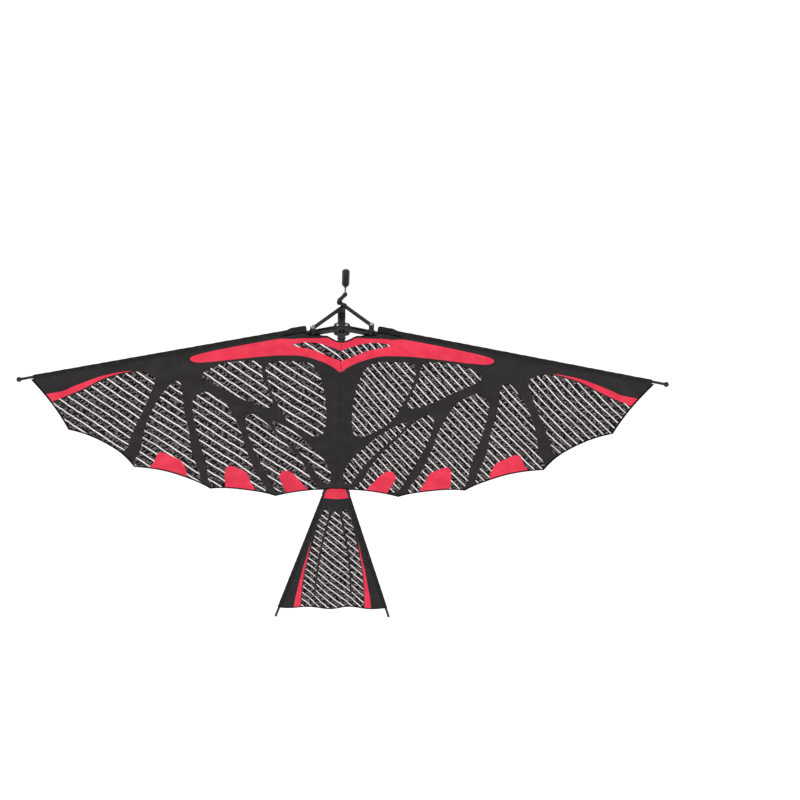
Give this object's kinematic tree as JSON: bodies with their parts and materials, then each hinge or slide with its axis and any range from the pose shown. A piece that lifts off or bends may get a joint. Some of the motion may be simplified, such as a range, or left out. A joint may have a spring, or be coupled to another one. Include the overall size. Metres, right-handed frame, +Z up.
{
  "type": "rubber powered flapping wing bird",
  "caption": "Hand-launched flapping bird: cloth wings on carbon spars, wound by a front crank that rocks both wings through crossed rods.",
  "frame": {"origin": "centre of the flat underside of the head frame's bearing block", "axes": "+X towards the bird's left wing, -Y forward along the crank axis, +Z up"},
  "size_m": [0.465, 0.3552, 0.0847],
  "materials": {
    "black_plastic": "fine moulded grain",
    "grip_plastic": "semi-gloss",
    "bead": "glossy",
    "steel_wire": "drawn wire",
    "carbon_rod": "pultruded carbon composite, satin",
    "rubber_band": "matt natural rubber",
    "printed_cloth": "thin woven polyester with a printed bat-wing pattern"
  },
  "bodies": {
    "airframe": {"head_frame": "black_plastic", "crank_bush": "steel_wire", "hinge_pin_left": "steel_wire", "hinge_pin_right": "steel_wire", "motor_stick": "carbon_rod", "rear_hook_mount": "black_plastic", "rear_hook": "steel_wire", "rubber_motor": "rubber_band", "spine_strip": "printed_cloth", "tail_socket": "black_plastic"},
    "crank": {"crankshaft": "steel_wire", "thrust_bead": "bead", "winding_arm": "black_plastic", "handle_pin": "steel_wire"},
    "handle": {"handle_grip": "grip_plastic"},
    "link_left": {"conrod_left": "black_plastic", "rod_pin_left": "steel_wire"},
    "link_right": {"conrod_right": "black_plastic", "rod_pin_right": "steel_wire"},
    "wing_left": {"wing_arm_left": "black_plastic", "wing_spar_left": "carbon_rod", "spar_tip_left": "grip_plastic", "wing_membrane_left": "printed_cloth"},
    "wing_right": {"wing_arm_right": "black_plastic", "wing_spar_right": "carbon_rod", "spar_tip_right": "grip_plastic", "wing_membrane_right": "printed_cloth"},
    "tail": {"tail_bracket": "black_plastic", "tail_pivot_screw": "steel_wire", "tail_pivot_nut": "steel_wire", "tail_rod_left": "carbon_rod", "tail_rod_right": "carbon_rod", "tail_membrane": "printed_cloth"}
  },
  "joints": [
    {"name": "crank_turn", "type": "hinge", "parent": "airframe", "child": "crank", "pos_m": [0, -0.00505, 0.0038], "axis": [0, -1, 0], "range_deg": [0, 180], "deforming": ["rubber_motor"]},
    {"name": "grip_spin", "type": "hinge", "parent": "crank", "child": "handle", "pos_m": [-0.00238, -0.03005, -0.00352], "axis": [0, -1, 0], "continuous": true},
    {"name": "wing_left_flap", "type": "hinge", "parent": "airframe", "child": "wing_left", "pos_m": [0.0032, -0.00505, 0.0198], "axis": [0, -1, 0], "range_deg": [0, 40.97]},
    {"name": "wing_right_flap", "type": "hinge", "parent": "airframe", "child": "wing_right", "pos_m": [-0.0032, -0.00505, 0.0198], "axis": [0, 1, 0], "range_deg": [0, 40.97]},
    {"name": "link_left_turn", "type": "hinge", "parent": "crank", "child": "link_left", "pos_m": [-0.00172, -0.00905, 0.00213], "axis": [0, -1, 0], "range_deg": [-156.53, 0]},
    {"name": "link_right_turn", "type": "hinge", "parent": "crank", "child": "link_right", "pos_m": [0.00172, -0.01275, 0.00213], "axis": [0, -1, 0], "range_deg": [-203.51, 0]},
    {"name": "tail_pitch", "type": "hinge", "parent": "airframe", "child": "tail", "pos_m": [0, 0.15595, 0.0118], "axis": [1, 0, 0], "range_deg": [-20, 20]}
  ],
  "couplings": [
    {"joint": "wing_left_flap", "follows": "crank_turn", "ratio": 0.22755},
    {"joint": "wing_right_flap", "follows": "crank_turn", "ratio": 0.22755},
    {"joint": "link_left_turn", "follows": "crank_turn", "ratio": -0.86952},
    {"joint": "link_right_turn", "follows": "crank_turn", "ratio": -1.1305}
  ]
}
